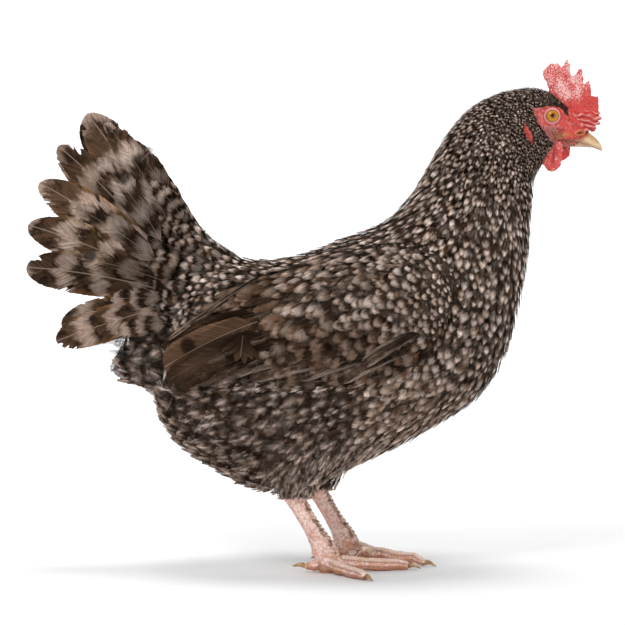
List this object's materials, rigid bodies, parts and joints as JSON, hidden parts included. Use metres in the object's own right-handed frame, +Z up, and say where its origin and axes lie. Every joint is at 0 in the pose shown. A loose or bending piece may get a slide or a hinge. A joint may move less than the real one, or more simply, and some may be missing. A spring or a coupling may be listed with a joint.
{
  "type": "chicken",
  "caption": "Standing hen with barred grey-brown plumage, a fanned tail, a single red comb and bare scaled legs, modelled at rest.",
  "frame": {"origin": "on the floor under the middle of the whole hen's bounding box", "axes": "+X ahead, the way the hen faces; +Y to its left; +Z up, with the floor it stands on at z = 0"},
  "size_m": [0.469, 0.186, 0.4174],
  "materials": {
    "plumage": "soft barred body feathers",
    "flight_feathers": "smooth vaned feathers",
    "red_skin": "bare grained skin",
    "leg_scales": "scaled skin",
    "horn": "satin horn",
    "eye": "wet"
  },
  "bodies": {
    "root": {"beak_lower": "horn", "beak_upper": "horn", "claw_left_1": "horn", "claw_left_2": "horn", "claw_left_3": "horn", "claw_left_4": "horn", "claw_right_1": "horn", "claw_right_2": "horn", "claw_right_3": "horn", "claw_right_4": "horn", "comb": "red_skin", "earlobe_left": "red_skin", "earlobe_right": "red_skin", "eye_left": "eye", "eye_right": "eye", "flight_feathers_left": "flight_feathers", "flight_feathers_right": "flight_feathers", "head": "plumage", "neck": "plumage", "shank_left": "leg_scales", "shank_right": "leg_scales", "tail_coverts": "plumage", "tail_feather_left_1": "flight_feathers", "tail_feather_left_2": "flight_feathers", "tail_feather_left_3": "flight_feathers", "tail_feather_left_4": "flight_feathers", "tail_feather_left_5": "flight_feathers", "tail_feather_left_6": "flight_feathers", "tail_feather_left_7": "flight_feathers", "tail_feather_right_1": "flight_feathers", "tail_feather_right_2": "flight_feathers", "tail_feather_right_3": "flight_feathers", "tail_feather_right_4": "flight_feathers", "tail_feather_right_5": "flight_feathers", "tail_feather_right_6": "flight_feathers", "tail_feather_right_7": "flight_feathers", "thigh_left": "plumage", "thigh_right": "plumage", "toe_left_1": "leg_scales", "toe_left_2": "leg_scales", "toe_left_3": "leg_scales", "toe_left_4": "leg_scales", "toe_right_1": "leg_scales", "toe_right_2": "leg_scales", "toe_right_3": "leg_scales", "toe_right_4": "leg_scales", "trunk": "plumage", "wattle_left": "red_skin", "wattle_right": "red_skin", "wing_left": "plumage", "wing_right": "plumage"}
  },
  "joints": []
}
